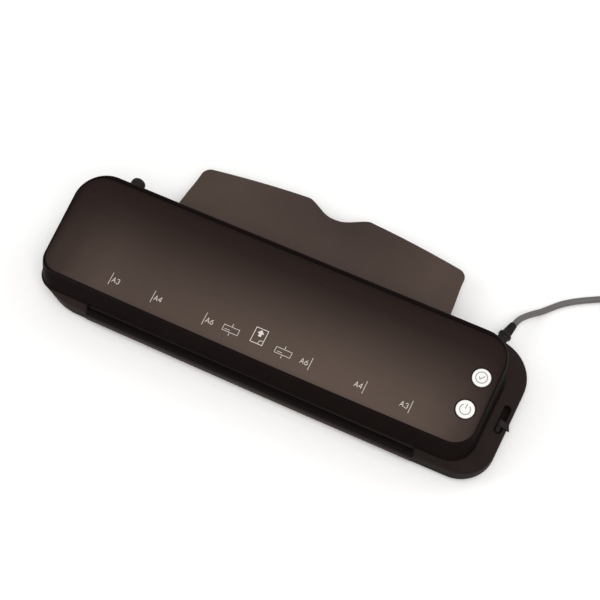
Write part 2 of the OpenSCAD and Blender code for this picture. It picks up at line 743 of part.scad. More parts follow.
module front_upper_gear() at_body() color([0.9, 0.9, 0.85])
    spur_gear(roller_teeth, front_roller_y, upper_z,
        meshed(90, front_lower_phase, roller_teeth, roller_teeth), shaft_r);

module rear_lower_gear() at_body() color([0.9, 0.9, 0.85])
    spur_gear(roller_teeth, rear_roller_y, lower_z, rear_lower_phase, shaft_r);

module rear_upper_gear() at_body() color([0.9, 0.9, 0.85])
    spur_gear(roller_teeth, rear_roller_y, upper_z,
        meshed(90, rear_lower_phase, roller_teeth, roller_teeth), shaft_r);

module front_idler_gear() at_body() color([0.9, 0.9, 0.85])
    spur_gear(idler_teeth, idler_y[0], lower_z, front_idler_phase, pin_r + running);

module middle_idler_gear() at_body() color([0.9, 0.9, 0.85])
    spur_gear(idler_teeth, idler_y[1], lower_z, middle_idler_phase, pin_r + running);

module rear_idler_gear() at_body() color([0.9, 0.9, 0.85])
    spur_gear(idler_teeth, idler_y[2], lower_z, rear_idler_phase, pin_r + running);

module idler_pins() at_body() color([0.75, 0.75, 0.78]) {
    for (y = idler_y) {
        rod_x(gear_x - 1.4, -frame_x, y, lower_z, pin_r);
        rod_x(gear_x - 1.4, gear_x - 0.4, y, lower_z, 3.6);
        rod_x(gear_x + gear_w + 0.4, -frame_x - frame_t, y, lower_z, 3.6);
    }
}

// ---- motor ----

module motor_pinion() at_body() color([0.8, 0.8, 0.82]) {
    spur_gear(pinion_teeth, idler_y[1], pinion_z, meshed(90, middle_idler_phase, idler_teeth, pinion_teeth), 1);
    rod_x(-197, gear_x + gear_w, idler_y[1], pinion_z, 3);
}

module gear_motor() at_body() color([0.75, 0.76, 0.78]) {
    difference() {
        union() {
            rod_x(motor_x, bracket_x, motor_y, motor_z, motor_r);
            rod_x(bracket_x - 0.1, bracket_x + bracket_t, idler_y[1], pinion_z, 5);
        }
        rod_x(-198, bracket_x + 3, idler_y[1], pinion_z, 3 + running);
        for (m = [-1, 1]) rod_x(bracket_x - 4, bracket_x + 1, motor_y + m * motor_screw_step, motor_z, 1.5);
    }
}

module motor_bracket() at_body() color([0.72, 0.73, 0.75]) {
    difference() {
        union() {
            box([bracket_x, -18, 11], [bracket_x + bracket_t, 26, 49]);
            box([bracket_x, -12, 47.5], [-frame_x - frame_t, 20, 49]);
            box([-frame_x - frame_t - 1.5, -12, 47.5], [-frame_x - frame_t, 20, 55]);
        }
        rod_x(bracket_x - 1, bracket_x + 3, idler_y[1], pinion_z, 5 + fit);
        for (m = [-1, 1]) rod_x(bracket_x - 1, bracket_x + 3, motor_y + m * motor_screw_step, motor_z, 1.7);
        for (y = bracket_screw_y) rod_x(-frame_x - 4, -frame_x - 1, y, bracket_screw_z, 1.7);
        // room for the head of the tie bar's screw
        rod_x(-frame_x - 5, -frame_x - 1, tie_points[1][0], tie_points[1][1], 3.3);
    }
}

module motor_screws() at_body() color([0.7, 0.7, 0.72]) {
    for (m = [-1, 1]) translate([bracket_x + bracket_t + 1.6, motor_y + m * motor_screw_step, motor_z])
        rotate([0, -90, 0]) screw(2.8, 1.6, 1.5 - fit, 4);
    for (y = bracket_screw_y) translate([-frame_x - frame_t - 3.1, y, bracket_screw_z])
        rotate([0, 90, 0]) screw(2.8, 1.6, 1.5 - fit, 4);
}

module terminal_block() at_body() color([0.9, 0.9, 0.88]) {
    difference() {
        box([205, 30, floor_z], [216, 48, floor_z + 11]);
        for (y = [34.5, 43.5]) translate([210.5, y, floor_z + 4]) cylinder(h = 10, r = 2.4, $fn = 32);
    }
}

base_casing();
top_cover();
top_panel();
button_bezels();
power_button();
ready_button();
control_board();
board_components();
tact_switches();
board_screws();
exit_tray();
release_slider();
release_link();
fuse_holder();
fuse_cap();
fuse();
strain_relief();
power_cord();
cord_coil();
mains_plug();
plug_pins();
rubber_feet();
casing_screws();
left_side_frame();
right_side_frame();
frame_screws();
tie_bars();
lower_entry_guide();
upper_entry_guide();
exit_guide();
lower_heater_plate();
upper_heater_plate();
heater_elements();
heat_shield();
thermostat();
thermal_fuse();
lower_bushes();
upper_bushes();
pressure_springs();
front_lower_sleeve();
front_lower_shaft();
front_lower_gear();
front_upper_sleeve();
front_upper_shaft();
front_upper_gear();
rear_lower_sleeve();
rear_lower_shaft();
rear_lower_gear();
rear_upper_sleeve();
rear_upper_shaft();
rear_upper_gear();
front_idler_gear();
middle_idler_gear();
rear_idler_gear();
idler_pins();
motor_pinion();
gear_motor();
motor_bracket();
motor_screws();
terminal_block();
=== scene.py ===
"""Visual model of a pouch laminator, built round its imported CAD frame, in metres."""

import json
import math

import bmesh
import bpy
import numpy as np
from mathutils import Matrix, Vector


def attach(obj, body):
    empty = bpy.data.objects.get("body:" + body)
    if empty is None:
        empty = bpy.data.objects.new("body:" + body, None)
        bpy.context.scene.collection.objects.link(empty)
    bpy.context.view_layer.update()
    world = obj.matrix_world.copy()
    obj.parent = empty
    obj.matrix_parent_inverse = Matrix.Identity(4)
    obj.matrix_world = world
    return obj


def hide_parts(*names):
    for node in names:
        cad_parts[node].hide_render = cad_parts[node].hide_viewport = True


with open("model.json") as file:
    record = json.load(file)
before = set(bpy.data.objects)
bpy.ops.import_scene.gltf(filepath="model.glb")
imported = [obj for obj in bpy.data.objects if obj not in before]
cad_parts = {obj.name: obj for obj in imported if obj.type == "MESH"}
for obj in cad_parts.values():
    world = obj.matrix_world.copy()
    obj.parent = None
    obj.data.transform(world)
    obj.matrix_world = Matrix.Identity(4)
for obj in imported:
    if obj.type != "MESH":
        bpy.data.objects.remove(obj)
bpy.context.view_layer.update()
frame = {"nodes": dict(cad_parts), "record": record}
NODES = frame["nodes"]

MM = 0.001
FRAME_Y = -37.25  # the body frame's origin in the row frame, in millimetres
SLOPE = math.radians(10.4)  # of the control panel's plane
FRONT_Y, FRONT_Z = -53.7, 50.0  # front edge of that plane
WALL = 2.5
FRONT_BOW = 1.2
SHARP = math.radians(32)  # edges above this angle are drawn sharp


def at(x, y, z):
    """A point of the body frame, given in millimetres, in the row frame in metres."""
    return np.array([x, y + FRAME_Y, z], float) * MM


def on_panel(x, s, h=0.0):
    """A point h above the control panel, s up its slope, all in millimetres."""
    return at(
        x,
        FRONT_Y + s * math.cos(SLOPE) - h * math.sin(SLOPE),
        FRONT_Z + s * math.sin(SLOPE) + h * math.cos(SLOPE),
    )


# ---- camera ----

CAMERA_TURN, CAMERA_RISE = math.radians(26.2), math.radians(58.55)
CAMERA_FAR = 1.36264
AIM = Vector(at(17.32, 13.02, 60.0))

back = Vector(
    (
        math.sin(CAMERA_TURN) * math.cos(CAMERA_RISE),
        -math.cos(CAMERA_TURN) * math.cos(CAMERA_RISE),
        math.sin(CAMERA_RISE),
    )
)
camera_data = bpy.data.cameras.new("camera")
camera_data.lens = 91.565
camera_data.sensor_width = 36.0
camera_data.clip_start, camera_data.clip_end = 0.01, 100.0
camera = bpy.data.objects.new("camera", camera_data)
bpy.context.scene.collection.objects.link(camera)
camera.location = AIM + back * CAMERA_FAR
camera.rotation_mode = "QUATERNION"
camera.rotation_quaternion = (-back).to_track_quat("-Z", "Y")
bpy.context.scene.camera = camera

# ---- materials ----


def srgb(r, g, b):
    """A colour given as 0 to 255 screen values, as linear red, green, blue and alpha."""
    return tuple(
        (c / 255 / 12.92) if c <= 10 else ((c / 255 + 0.055) / 1.055) ** 2.4 for c in (r, g, b)
    ) + (1.0,)


class Graph:
    """Builds one node material, with short calls for what every material here needs."""

    def __init__(self, name):
        self.mat = bpy.data.materials.new(name)
        self.mat.use_nodes = True
        self.tree = self.mat.node_tree
        self.bsdf = next(n for n in self.tree.nodes if n.type == "BSDF_PRINCIPLED")
        self.coord = self.tree.nodes.new("ShaderNodeTexCoord").outputs["Object"]
        self.height = None

    def node(self, kind, **values):
        n = self.tree.nodes.new(kind)
        for k, v in values.items():
            if hasattr(n, k):
                setattr(n, k, v)
            else:
                n.inputs[k].default_value = v
        return n

    def link(self, a, b):
        self.tree.links.new(a, b)

    def noise(self, scale, detail=2.0, rough=0.5, stretch=None):
        n = self.node("ShaderNodeTexNoise", Scale=scale, Detail=detail, Roughness=rough)
        source = self.coord
        if stretch:
            m = self.node("ShaderNodeMapping")
            m.inputs["Scale"].default_value = stretch
            self.link(source, m.inputs["Vector"])
            source = m.outputs["Vector"]
        self.link(source, n.inputs["Vector"])
        return n.outputs["Fac"]

    def ramp(self, value, low, high, to_low, to_high):
        r = self.node("ShaderNodeMapRange")
        for k, v in zip(("From Min", "From Max", "To Min", "To Max"), (low, high, to_low, to_high)):
            r.inputs[k].default_value = v
        self.link(value, r.inputs["Value"])
        return r.outputs["Result"]

    def mix(self, factor, a, b):
        m = self.node("ShaderNodeMix", data_type="RGBA")
        for socket, value in ((m.inputs[6], a), (m.inputs[7], b)):
            if isinstance(value, tuple):
                socket.default_value = value
            else:
                self.link(value, socket)
        self.link(factor, m.inputs[0])
        return m.outputs[2]

    def math(self, operation, a, b):
        m = self.node("ShaderNodeMath", operation=operation)
        for socket, value in ((m.inputs[0], a), (m.inputs[1], b)):
            if isinstance(value, (int, float)):
                socket.default_value = value
            else:
                self.link(value, socket)
        return m.outputs[0]

    def curve(self, value, stops):
        """A grey ramp through (position, value) pairs."""
        ramp = self.node("ShaderNodeValToRGB")
        points = ramp.color_ramp.elements
        while len(points) < len(stops):
            points.new(0.5)
        for point, (position, grey) in zip(points, stops):
            point.position = position
            point.color = (grey, grey, grey, 1.0)
        self.link(value, ramp.inputs["Fac"])
        return ramp.outputs["Color"]

    def bump(self, height, depth):
        """Adds to the surface's relief: height from 0 to 1 stands for depth in metres."""
        b = self.node("ShaderNodeBump", Strength=1.0, Distance=depth)
        self.link(height, b.inputs["Height"])
        if self.height is not None:
            self.link(self.height, b.inputs["Normal"])
        self.height = b.outputs["Normal"]

    def done(self, colour, rough, **constants):
        """colour and rough are sockets that vary; the rest are constants on the shader."""
        self.link(colour, self.bsdf.inputs["Base Color"])
        self.link(rough, self.bsdf.inputs["Roughness"])
        if self.height is not None:
            self.link(self.height, self.bsdf.inputs["Normal"])
        for k, v in constants.items():
            self.bsdf.inputs[k.replace("_", " ")].default_value = v
        return self.mat


def scaled(colour, factor):
    return tuple(min(1.0, c * factor) for c in colour[:3]) + (1.0,)


def speckled(g, colour, vary, grain=1400.0, depth=0.00003):
    """The colour with faint flow clouds and fine spark-eroded grain, and the grain's relief."""
    clouds = g.noise(22.0, 4.0, 0.6)
    fine = g.noise(grain, 2.0, 0.55)
    g.bump(fine, depth)
    tone = g.math("ADD", g.math("MULTIPLY", clouds, 0.7), g.math("MULTIPLY", fine, 0.3))
    shade = g.ramp(tone, 0.3, 0.7, 0.0, 1.0)
    return g.mix(shade, scaled(colour, 1 - vary), scaled(colour, 1 + vary))


def rubbed(g, rough):
    """A roughness that handling has varied a little either way."""
    marks = g.noise(9.0, 6.0, 0.65, (1.0, 3.0, 2.0))
    return g.ramp(marks, 0.35, 0.65, rough - 0.05, rough + 0.05)


def moulded(name, colour, rough=0.5, spec=0.3, grain=1400.0, depth=0.00003, vary=0.12):
    """Moulded plastic or rubber."""
    g = Graph(name)
    return g.done(
        speckled(g, colour, vary, grain, depth), rubbed(g, rough), Specular_IOR_Level=spec
    )


def metal(name, colour, rough=0.3, stretch=(1.0, 60.0, 60.0), scale=30.0):
    """Bare metal with drawn or brushed lines along one way, and duller patches."""
    g = Graph(name)
    lines = g.noise(scale * 20, 3.0, 0.7, stretch)
    patches = g.noise(40.0, 3.0, 0.5)
    g.bump(lines, 0.00001)
    return g.done(
        g.mix(patches, scaled(colour, 0.88), scaled(colour, 1.08)),
        g.ramp(lines, 0.3, 0.7, rough - 0.08, rough + 0.1),
        Metallic=1.0,
    )


def panel_paint():
    """Satin brown metallic paint with fine flake in it, under a painted highlight along the front
    that fades to near black behind, with painted shade at the rim and painted glints on the flake."""
    g = Graph("panel_paint")
    axes = g.node("ShaderNodeSeparateXYZ")
    g.link(g.coord, axes.inputs["Vector"])
    # the painted highlight, a painted reflection of the lamps: lightest along the front, fading
    # unevenly up the panel and towards its ends
    wobble = g.math("MULTIPLY", g.math("SUBTRACT", g.noise(7.0, 3.0, 0.5), 0.5), 0.14)
    low, high = on_panel(PANEL[0], 0), on_panel(PANEL[1], 100)
    up = g.ramp(axes.outputs["Y"], float(low[1]), float(high[1]), 0.0, 1.0)
    along = g.ramp(axes.outputs["X"], float(low[0]), float(high[0]), 0.0, 1.0)
    depth = g.curve(g.math("ADD", up, wobble), PANEL_HIGHLIGHT_DEPTH)
    length = g.curve(g.math("ADD", along, wobble), PANEL_HIGHLIGHT_LENGTH)
    colour = g.mix(g.math("MULTIPLY", depth, length), PANEL_DARK, PANEL_HIGHLIGHT)
    # painted shade at the rim: it is narrower along the front edge, so its rectangle starts ahead of
    # the panel
    near, far = on_panel(PANEL[0], PANEL[2] - RIM_SHADE_AHEAD), on_panel(PANEL[1], PANEL[3])
    centre, half = (near + far) / 2, (far - near) / 2
    corner = PANEL[5] * MM
    beyond = []
    for axis, middle, reach in (("X", centre[0], half[0]), ("Y", centre[1], half[1])):
        off = g.math("ABSOLUTE", g.math("SUBTRACT", axes.outputs[axis], float(middle)), 0.0)
        beyond.append(g.math("MAXIMUM", g.math("SUBTRACT", off, float(reach - corner)), 0.0))
    squares = g.math("ADD", g.math("POWER", beyond[0], 2.0), g.math("POWER", beyond[1], 2.0))
    inside = g.math("SUBTRACT", corner, g.math("SQRT", squares, 0.0))
    rim = g.curve(g.ramp(inside, 0.0, RIM_SHADE_WIDTH * MM, 0.0, 1.0), PANEL_RIM_SHADE)
    colour = g.mix(rim, scaled(PANEL_DARK, 0.35), colour)
    # the flake gives real relief, and is also painted into the colour as light specks: painted
    # glints
    flake = g.noise(2600.0, 1.0, 0.5)
    g.bump(flake, 0.000012)
    g.bump(g.noise(420.0, 2.0, 0.5), 0.00001)
    rub = g.noise(14.0, 5.0, 0.6, (1.0, 2.5, 1.0))
    return g.done(
        g.mix(g.ramp(flake, 0.45, 0.8, 0.0, 0.12), colour, scaled(PANEL_HIGHLIGHT, 1.3)),
        g.ramp(rub, 0.35, 0.65, 0.42, 0.5),
        Specular_IOR_Level=0.06,
    )


def zone(g, axis, stops):
    """A factor along one axis, from (millimetres in the body frame, value) pairs."""
    axes = g.node("ShaderNodeSeparateXYZ")
    g.link(g.coord, axes.inputs["Vector"])
    first, last = stops[0][0], stops[-1][0]
    shift = FRAME_Y if axis == "Y" else 0.0
    t = g.ramp(axes.outputs[axis], (first + shift) * MM, (last + shift) * MM, 0.0, 1.0)
    return g.curve(t, [((p - first) / (last - first), v) for p, v in stops])


def base_paint():
    """Dark brown moulded plastic with painted light and shade: blacker on the entry lip's edge and
    toward the sole.
    """
    g = Graph("base_plastic")
    colour = speckled(g, BASE_BROWN, 0.1)
    # painted light and shade: the front goes darker to the right, the right shoulder lighter to the
    # back
    ends = zone(g, "X", ((-228, 1.0), (-120, 0.85), (150, 0.7), (200, 0.62), (228, 0.8)))
    rear = zone(g, "Y", ((-64, 0.0), (-45, 0.05), (10, 0.5), (70, 0.75)))
    painted_lighting = g.math("MINIMUM", g.math("ADD", ends, rear), 1.0)
    colour = g.mix(painted_lighting, scaled(BASE_BROWN, 0.25), colour)
    # the middle of the front has painted light below the lip and painted shade on the lip's edge
    middle = zone(g, "X", ((-166, 0.0), (-163, 1.0), (163, 1.0), (166, 0.0)))
    entry = g.math("MULTIPLY", middle, zone(g, "Y", ((-60, 1.0), (-57, 0.0))))
    painted_bounce = g.math("MULTIPLY", entry, zone(g, "Z", ((0, 0.9), (7, 1.0), (14, 1.0), (19, 0.0))))
    colour = g.mix(painted_bounce, colour, scaled(BASE_BROWN, 2.1))
    lip = g.math("MULTIPLY", entry, zone(g, "Z", ((14, 0.0), (20, 1.0), (25, 1.0))))
    # painted shade towards the sole, except below the entry
    sole_shade = zone(g, "Z", ((0, 1.0), (5, 0.85), (13, 0.0), (14, 0.0)))
    sole_shade = g.math("MULTIPLY", sole_shade, g.math("SUBTRACT", 1.0, entry))
    painted_shade = g.math("MAXIMUM", g.math("MULTIPLY", lip, 0.75), g.math("MULTIPLY", sole_shade, 0.7))
    colour = g.mix(painted_shade, colour, scaled(BASE_BROWN, 0.08))
    return g.done(colour, rubbed(g, 0.52), Specular_IOR_Level=0.04)


def tray_paint():
    """Brown moulded plastic with painted shade, a little darker round the finger notch."""
    g = Graph("tray_plastic")
    colour = speckled(g, TRAY_BROWN, 0.1)
    # painted shade in soft fades along the tray, deepening towards its rear edge
    along = zone(
        g,
        "X",
        ((-146, 0.3), (-100, 0.1), (-50, 0.4), (20, 0.6), (60, 0.45), (110, 0.0), (140, 0.0)),
    )
    behind = zone(g, "Y", ((80, 0.4), (125, 1.0), (140, 1.0)))
    colour = g.mix(g.math("MULTIPLY", along, behind), colour, scaled(TRAY_BROWN, 0.35))
    return g.done(colour, rubbed(g, 0.5), Specular_IOR_Level=0.12)


# an outline: left, right, front and rear edge, then the front left, front right, rear right and
# rear left corner radius, and how far the left side spreads towards the back
PANEL = (-216.8, 207.8, 1.2, 104.6, 17, 20, 21, 27, 3)
# how far the painted shade at the panel's rim reaches inwards, and how far ahead of the panel it
# starts, in millimetres
RIM_SHADE_WIDTH, RIM_SHADE_AHEAD = 12.0, 5.0
# the lighter tone is a painted highlight, a painted reflection of the lamps; the darker is the
# paint's own
PANEL_HIGHLIGHT = srgb(87, 74, 67)
PANEL_DARK = srgb(31, 21, 19)
# how much painted highlight shows: up the panel, along it, and inwards from the rim's painted shade
PANEL_HIGHLIGHT_DEPTH = (
    (0.0, 1.0), (0.1, 1.0), (0.28, 0.9), (0.5, 0.57), (0.7, 0.25), (0.88, 0.04), (1.0, 0.0),
)
PANEL_HIGHLIGHT_LENGTH = (
    (0.0, 0.2), (0.03, 0.3), (0.06, 0.48), (0.12, 0.66), (0.21, 0.64), (0.32, 0.71), (0.5, 0.84),
    (0.69, 0.94), (0.8, 0.92), (0.9, 0.84), (0.96, 0.64), (1.0, 0.4),
)
PANEL_RIM_SHADE = ((0.0, 0.15), (0.12, 0.55), (0.35, 0.85), (0.7, 1.0), (1.0, 1.0))
BASE_BROWN = srgb(38, 30, 28)
TRAY_BROWN = srgb(76, 63, 57)
COVER_BLACK = srgb(18, 11, 10)

# moulded: colour, roughness, specular level, grain's scale and depth, and spread of the colour
MATERIALS = {
    "base_shell": base_paint(),
    "cover_shell": moulded("cover_plastic", COVER_BLACK, 0.5, 0.02),
    "panel": panel_paint(),
    "bezel": moulded("bezel_plastic", srgb(30, 25, 23), 0.35, 0.1, depth=0.00001),
    "button": moulded("button_plastic", srgb(233, 232, 229), 0.28, 0.5, 900.0, 0.000006, 0.02),
    "tray": tray_paint(),
    "black_plastic": moulded("black_plastic", srgb(33, 28, 26), 0.45, 0.12),
    "circuit_board": moulded("circuit_board", srgb(30, 96, 58), 0.4, 0.5, 300.0, 0.00002, 0.25),
    "components": moulded("component_cases", srgb(60, 60, 64), 0.5, 0.4, 700.0),
    "steel": metal("zinc_steel", srgb(196, 197, 201), 0.28),
    "zinc_sheet": metal("zinc_sheet", srgb(178, 181, 184), 0.4, (1.0, 1.0, 1.0), 2.0),
    "fuse_glass": moulded("fuse_glass", srgb(225, 230, 230), 0.1, 0.5, 50.0, 0.000002, 0.03),
    "cord_rubber": moulded("cord_rubber", srgb(98, 94, 94), 0.5, 0.3, 1100.0, 0.00002),
    "foot_rubber": moulded("foot_rubber", srgb(30, 30, 30), 0.75, 0.3, 700.0, 0.00005),
    "guide_plastic": moulded("guide_plastic", srgb(32, 26, 25), 0.5, 0.12),
    "heater_plate": metal("mill_aluminium", srgb(215, 216, 218), 0.35, (1.0, 40.0, 40.0)),
    "heater_strip": moulded("mica_strip", srgb(205, 196, 172), 0.55, 0.4, 500.0, 0.00005, 0.2),
    "thermo_body": moulded("ceramic_body", srgb(222, 216, 202), 0.6, 0.4, 600.0),
    "bush_brass": metal("sintered_bronze", srgb(176, 134, 74), 0.45, (1.0, 1.0, 1.0), 8.0),
    "silicone": moulded("silicone", srgb(150, 72, 52), 0.6, 0.35, 900.0, 0.00004),
    "gear_nylon": moulded("gear_nylon", srgb(222, 220, 206), 0.45, 0.4, 800.0),
    "terminal": moulded("terminal_nylon", srgb(226, 222, 208), 0.4, 0.4, 800.0),
}
INK = moulded("printed_ink", srgb(206, 199, 192), 0.6, 0.2, 2400.0, 0.000004, 0.06)
SIGN = moulded("button_ink", srgb(150, 147, 143), 0.5, 0.3, 2400.0, 0.000002, 0.05)

for row in frame["record"]["subparts"]:
    node = NODES[row["node"]]
    node.data.materials.clear()
    node.data.materials.append(MATERIALS[row["material_slot"]])
    node.data.shade_smooth()
    node.data.set_sharp_from_angle(angle=SHARP)

# ---- mesh helpers ----


def piece(name, mesh, body, slot=None, material=None):
    """A shown piece made from a mesh that is already in the row frame, riding on a body."""
    obj = bpy.data.objects.new(name, mesh)
    bpy.context.scene.collection.objects.link(obj)
    mesh.materials.clear()
    mesh.materials.append(material or MATERIALS[slot])
    mesh.shade_smooth()
    mesh.set_sharp_from_angle(angle=SHARP)
    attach(obj, body)
    return obj


def as_mesh(name, bm):
    bmesh.ops.remove_doubles(bm, verts=bm.verts, dist=1e-7)
    bmesh.ops.recalc_face_normals(bm, faces=bm.faces)
    mesh = bpy.data.meshes.new(name)
    bm.to_mesh(mesh)
    bm.free()
    return mesh


def soften(obj, width, angle=35.0):
    """Rounds the piece's edges by width millimetres."""
    b = obj.modifiers.new("soften", "BEVEL")
    b.width = width * MM
    b.segments = 2
    b.limit_method = "ANGLE"
    b.angle_limit = math.radians(angle)
    w = obj.modifiers.new("even", "WEIGHTED_NORMAL")
    w.keep_sharp = True


def arc(cx, cy, r, a0, a1, n):
    angles = [math.radians(a0 + (a1 - a0) * i / n) for i in range(n + 1)]
    return [(cx + r * math.cos(a), cy + r * math.sin(a)) for a in angles]


ARC_STEPS, BOW_STEPS = 18, 24


def outline(b, inset=0.0):
    """The casing's outline in millimetres: a rectangle with four corner radii and a bowed front,
    and a left side that may spread towards the back."""
    x0, x1, y0, y1 = b[0] + inset, b[1] - inset, b[2] + inset, b[3] - inset
    fl, fr, br, bl = (r - inset for r in b[4:8])
    spread = b[8] if len(b) > 8 else 0.0
    bow = []
    for i in range(1, BOW_STEPS):
        u = 2 * i / BOW_STEPS - 1
        x = x0 + fl + (x1 - fr - x0 - fl) * i / BOW_STEPS
        bow.append((x, y0 - FRONT_BOW * (1 - u * u)))
    sides = [(x1, y0 + fr + (y1 - br - y0 - fr) * i / 4) for i in range(1, 4)]
    behind = [(x1 - br + (x0 + bl - spread - x1 + br) * i / 8, y1) for i in range(1, 8)]
    left = [(x0 - spread * (1 - i / 4), y1 - bl + (y0 + fl - y1 + bl) * i / 4) for i in range(1, 4)]
    return (
        arc(x0 + fl, y0 + fl, fl, 180, 270, ARC_STEPS)
        + bow
        + arc(x1 - fr, y0 + fr, fr, 270, 360, ARC_STEPS)
        + sides
        + arc(x1 - br, y1 - br, br, 0, 90, ARC_STEPS)
        + behind
        + arc(x0 + bl - spread, y1 - bl, bl, 90, 180, ARC_STEPS)
        + left
    )


def level(b, z, inset=0.0):
    return np.array([at(x, y, z) for x, y in outline(b, inset)])


def sloped(b, h, inset=0.0):
    return np.array([on_panel(x, s, h) for x, s in outline(b, inset)])


def rounded(rings, radii, steps=5):
    """Rings with each ring that has a radius, in millimetres, turned into a rounded edge."""
    out = []
    for i, ring in enumerate(rings):
        r = radii[i] * MM
        if not r:
            out.append(ring)
            continue
        ends = []
        for other in (rings[i - 1], rings[i + 1]):
            away = other - ring
            length = np.linalg.norm(away, axis=1, keepdims=True)
            ends.append(ring + away * np.minimum(0.45, r / np.maximum(length, 1e-9)))
        for k in range(steps + 1):
            t = k / steps
            out.append((1 - t) ** 2 * ends[0] + 2 * t * (1 - t) * ring + t**2 * ends[1])
    return out


def loft(rings, bm=None):
    """A closed solid through rings of points, with flat ends."""
    bm = bm or bmesh.new()
    loops = [[bm.verts.new(p) for p in ring] for ring in rings]
    for a, b in zip(loops, loops[1:]):
        for i in range(len(a)):
            j = (i + 1) % len(a)
            bm.faces.new((a[i], a[j], b[j], b[i]))
    bm.faces.new(loops[0])
    bm.faces.new(loops[-1])
    return bm


def block(low, high):
    """A box between two corners of the body frame, in millimetres."""
    (x0, y0, z0), (x1, y1, z1) = at(*low), at(*high)
    return loft([[(x0, y0, z), (x1, y0, z), (x1, y1, z), (x0, y1, z)] for z in (z0, z1)])


def turned(profile, place, steps=64):
    """A closed solid turned from (radius, height) pairs in millimetres. A profile that starts off
    the axis closes on itself as a ring. A radius may be a function of the angle. place is a 4x4
    matrix from the axis frame, in metres, to the row frame."""
    bm = bmesh.new()
    loops = []
    for r, h in profile:
        if r == 0:
            loops.append([bm.verts.new(place @ Vector((0, 0, h * MM)))])
            continue
        ring = []
        for k in range(steps):
            a = 2 * math.pi * k / steps
            rr = (r(a) if callable(r) else r) * MM
            point = Vector((rr * math.cos(a), rr * math.sin(a), h * MM))
            ring.append(bm.verts.new(place @ point))
        loops.append(ring)
    pairs = list(zip(loops, loops[1:]))
    if profile[0][0] != 0:
        pairs.append((loops[-1], loops[0]))
    for a, b in pairs:
        for k in range(steps):
            j = (k + 1) % steps
            face = [a[k % len(a)], a[j % len(a)], b[j % len(b)], b[k % len(b)]]
            face = [v for i, v in enumerate(face) if v not in face[:i]]
            if len(face) > 2:
                bm.faces.new(face)
    return bm


def carve(mesh, cuts, joins=()):
    """The mesh with other solids joined on and cut away, exactly."""
    obj = bpy.data.objects.new("carved", mesh)
    bpy.context.scene.collection.objects.link(obj)
    helpers = []
    for operation, solids in (("UNION", joins), ("DIFFERENCE", cuts)):
        for bm in solids:
            other = bpy.data.objects.new("cutter", as_mesh("cutter", bm))
            bpy.context.scene.collection.objects.link(other)
            m = obj.modifiers.new("cut", "BOOLEAN")
            m.operation, m.object, m.solver = operation, other, "EXACT"
            helpers.append(other)
    bpy.context.view_layer.update()
    made = bpy.data.meshes.new_from_object(obj.evaluated_get(bpy.context.evaluated_depsgraph_get()))
    for o in [obj, *helpers]:
        data = o.data
        bpy.data.objects.remove(o)
        bpy.data.meshes.remove(data)
    return made


def axis_frame(origin, direction):
    """A matrix that takes the Z axis to a direction through a point of the row frame."""
    turn = Vector(direction).to_track_quat("Z", "Y").to_matrix().to_4x4()
    return Matrix.Translation(Vector(origin)) @ turn


def along_x(x0, x1, profile):
    """A prism along X with a profile of (y, z) pairs."""
    return loft([[at(x, y, z) for y, z in profile] for x in (x0, x1)])


def cylinder(origin, direction, r, h0, h1, steps=48):
    return turned([(0, h0), (r, h0), (r, h1), (0, h1)], axis_frame(origin, direction), steps)


def upright(x, y, r, z0, z1, steps=48):
    return cylinder(at(x, y, 0), (0, 0, 1), r, z0, z1, steps)


def stadium(x, y0, y1, r, z0, z1):
    """An upright slot-shaped solid, rounded at both ends."""
    ring = arc(x, y1, r, 0, 180, 24) + arc(x, y0, r, 180, 360, 24)
    return loft([[at(px, py, z) for px, py in ring] for z in (z0, z1)])


PANEL_UP = (0.0, -math.sin(SLOPE), math.cos(SLOPE))

# ---- mains lead ----

CORD_R = 3.0
GLAND = (188.7, 77.5, 17.0)
GLAND_TURN = math.radians(12)
GLAND_WAY = (math.sin(GLAND_TURN), math.cos(GLAND_TURN), 0.0)
ROUTE = [
    (193.3, 99, 17), (195.5, 107.5, 15), (199, 115.5, 11.5), (203.8, 123.5, 7.5), (209.5, 131, 4.4),
    (215.5, 139, 3), (222.5, 147, 3), (230.5, 154, 3), (239.5, 160.3, 3), (249.5, 166.5, 3),
    (260, 172.8, 3), (270.5, 179.6, 3), (281, 186.6, 3), (291.5, 193.4, 3),
]
COIL_X, COIL_Y, COIL_IN, COIL_OUT = 318.0, 160.0, 26.5, 42.5
COIL_START, COIL_STEP = 120.0, 12.0  # degrees
PLUG_X, PLUG_FACE_Y, PLUG_L, PLUG_T = COIL_X + COIL_OUT, 128.0, 38.0, 14.0


def coil_points():
    """Turns that wind in on the table, step up at the middle and wind out on top."""
    points = []
    stages = (
        (COIL_OUT, COIL_IN, 960.0, CORD_R, CORD_R),
        (COIL_IN, COIL_IN, 360.0, CORD_R, 3 * CORD_R),
        (COIL_IN, COIL_OUT, 960.0, 3 * CORD_R, 3 * CORD_R),
    )
    angle = COIL_START
    for r0, r1, sweep, z0, z1 in stages:
        n = int(sweep / COIL_STEP)
        for i in range(n):
            t = i / n
            ease = t * t * (3 - 2 * t)
            a = math.radians(angle - sweep * t)
            r = r0 + (r1 - r0) * t
            z = z0 + (z1 - z0) * ease
            points.append((COIL_X + r * math.cos(a), COIL_Y + r * math.sin(a), z))
        angle -= sweep
    return points


def through(points, step):
    """Points of a smooth curve through the given ones, about step apart."""
    p = [np.array(q, float) for q in points]
    p = [2 * p[0] - p[1]] + p + [2 * p[-1] - p[-2]]
    out = []
    for a, b, c, d in zip(p, p[1:], p[2:], p[3:]):
        n = max(1, int(np.linalg.norm(c - b) / step))
        for i in range(n):
            t = i / n
            out.append(
                0.5 * (2 * b + (c - a) * t + (2 * a - 5 * b + 4 * c - d) * t**2
                       + (3 * b - a - 3 * c + d) * t**3)
            )
    return out + [p[-2]]


